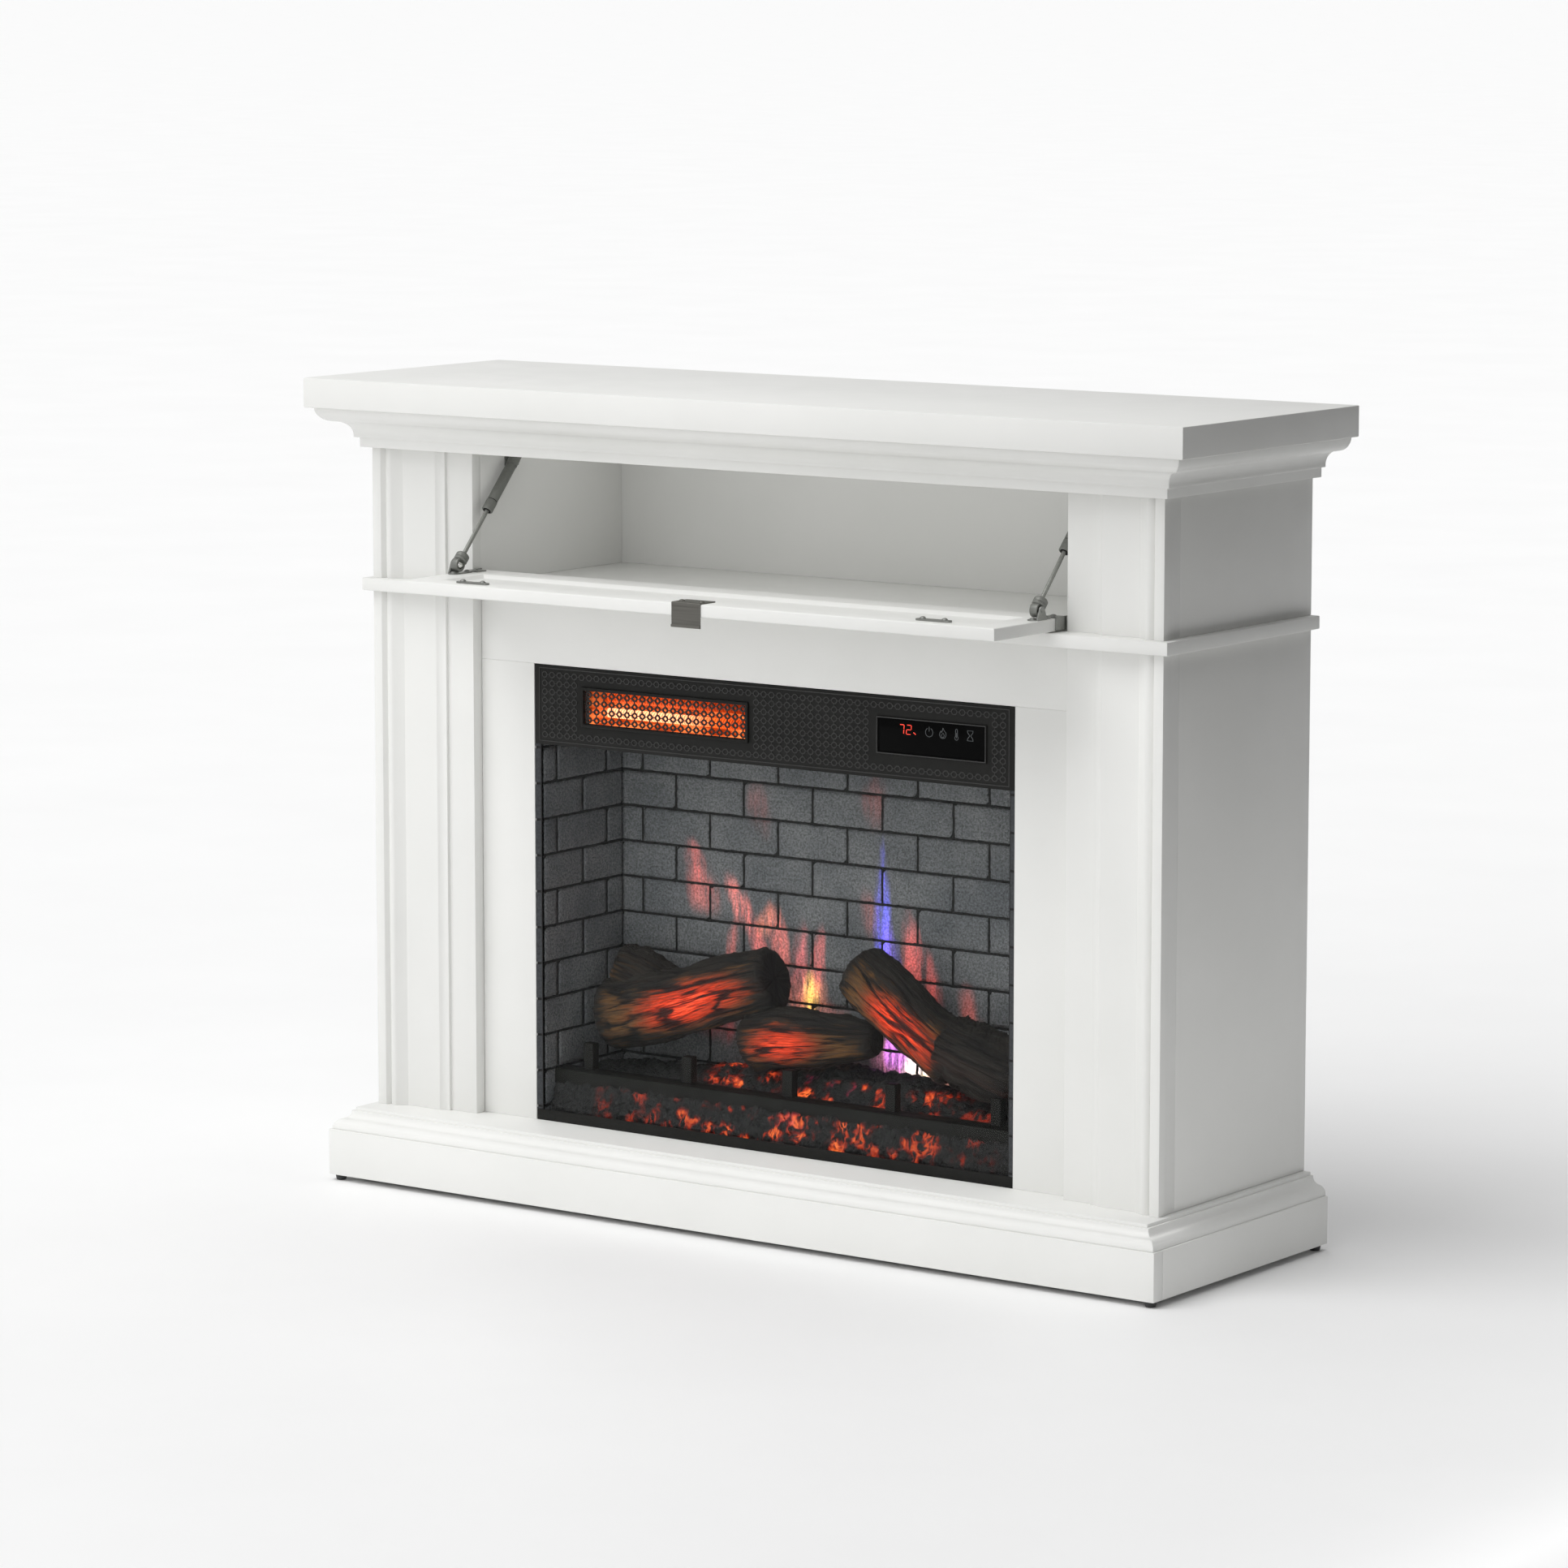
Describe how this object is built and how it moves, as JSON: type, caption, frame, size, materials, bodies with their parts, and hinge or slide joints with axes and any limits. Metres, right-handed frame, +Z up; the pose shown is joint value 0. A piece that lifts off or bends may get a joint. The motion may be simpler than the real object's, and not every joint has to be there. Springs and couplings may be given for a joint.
{
  "type": "electric fireplace",
  "caption": "White mantel cabinet with an infrared fireplace insert behind glass and a drop-down storage door on gas struts.",
  "frame": {"origin": "on the floor, centre of the plan bounding box with the storage door open", "axes": "+Z up, the front faces -Y, +X to the viewer's right"},
  "size_m": [1.057, 0.376, 0.8315],
  "materials": {
    "white_paint": "satin white paint over MDF",
    "black_steel": "matte black powder coat",
    "galvanised_steel": "plain zinc-coated sheet",
    "grille_steel": "matte black perforated sheet",
    "quartz": "glowing quartz tube",
    "reflector": "bright anodised",
    "lens": "gloss black touch panel",
    "circuit_board": "green circuit board",
    "clear_glass": "clear tempered glass",
    "brick": "grey brick relief",
    "ember": "charred resin with glowing orange",
    "log": "charred bark resin",
    "grate_iron": "matte black",
    "rotor_foil": "bright foil",
    "motor_case": "plain steel",
    "black_plastic": "black plastic",
    "nickel": "satin nickel",
    "zinc": "zinc plated",
    "strut_paint": "grey painted tube",
    "polished_rod": "polished steel"
  },
  "bodies": {
    "cabinet": {"mantel_top": "white_paint", "crown_moulding_front": "white_paint", "crown_moulding_sides": "white_paint", "top_rail": "white_paint", "side_panels": "white_paint", "storage_walls": "white_paint", "storage_back_panel": "white_paint", "waist_shelf": "white_paint", "lower_pilasters": "white_paint", "upper_pilasters": "white_paint", "header_rail": "white_paint", "surround_stiles": "white_paint", "plinth_front": "white_paint", "plinth_returns": "white_paint", "base_moulding_front": "white_paint", "base_moulding_sides": "white_paint", "hearth_deck": "white_paint", "glide_feet": "black_plastic", "insert_base_pan": "black_steel", "insert_wrap": "black_steel", "insert_rear_cover": "galvanised_steel", "cord_inlet": "black_plastic", "firebox_roof": "black_steel", "fascia": "black_steel", "front_lip": "black_steel", "heater_grille_frame": "black_steel", "heater_grille": "grille_steel", "quartz_tubes": "quartz", "heater_reflector": "reflector", "control_bezel": "black_plastic", "control_lens": "lens", "control_board": "circuit_board", "front_glass": "clear_glass", "brick_panels": "brick", "front_ember_bed": "ember", "rear_ember_bed": "ember", "grate": "grate_iron", "left_log": "log", "centre_log": "log", "right_log": "log", "lamp_board": "circuit_board", "rotor_motor": "motor_case", "rotor_bearing": "galvanised_steel", "blower_housing": "galvanised_steel", "blower_motor": "motor_case", "power_board": "circuit_board", "hinge_wall_leaves": "zinc", "strut_wall_brackets": "zinc"},
    "door": {"door_frame": "white_paint", "door_panel": "white_paint", "door_clips": "zinc", "door_pull": "nickel", "hinge_door_leaves": "zinc", "strut_door_brackets": "zinc"},
    "left_strut_rod": {"left_strut_rod": "polished_rod"},
    "left_strut_tube": {"left_strut_body": "strut_paint"},
    "right_strut_rod": {"right_strut_rod": "polished_rod"},
    "right_strut_tube": {"right_strut_body": "strut_paint"},
    "flame_rotor": {"flame_rotor": "rotor_foil"},
    "blower_wheel": {"blower_wheel": "black_plastic"}
  },
  "joints": [
    {"name": "door_hinge", "type": "hinge", "parent": "cabinet", "child": "door", "pos_m": [0, -0.05975, 0.6315], "axis": [-1, 0, 0], "range_deg": [0, 90]},
    {"name": "left_strut_swing", "type": "hinge", "parent": "door", "child": "left_strut_rod", "pos_m": [-0.35, -0.10255, 0.6483], "axis": [1, 0, 0], "range_deg": [0, 106.6]},
    {"name": "left_strut_slide", "type": "slide", "parent": "left_strut_rod", "child": "left_strut_tube", "axis": [0, -0.6789, -0.7343], "range_m": [0, 0.056]},
    {"name": "right_strut_swing", "type": "hinge", "parent": "door", "child": "right_strut_rod", "pos_m": [0.35, -0.10255, 0.6483], "axis": [1, 0, 0], "range_deg": [0, 106.6]},
    {"name": "right_strut_slide", "type": "slide", "parent": "right_strut_rod", "child": "right_strut_tube", "axis": [0, -0.6789, -0.7343], "range_m": [0, 0.056]},
    {"name": "flame_rotor_spin", "type": "hinge", "parent": "cabinet", "child": "flame_rotor", "pos_m": [0, 0.11195, 0.14], "axis": [1, 0, 0], "continuous": true},
    {"name": "blower_spin", "type": "hinge", "parent": "cabinet", "child": "blower_wheel", "pos_m": [-0.13, 0.05795, 0.508], "axis": [1, 0, 0], "continuous": true}
  ],
  "couplings": [
    {"joint": "left_strut_swing", "follows": "door_hinge", "ratio": 1.1827},
    {"joint": "left_strut_slide", "follows": "door_hinge", "m_per_rad": 0.03551},
    {"joint": "right_strut_swing", "follows": "door_hinge", "ratio": 1.1827},
    {"joint": "right_strut_slide", "follows": "door_hinge", "m_per_rad": 0.03551}
  ]
}
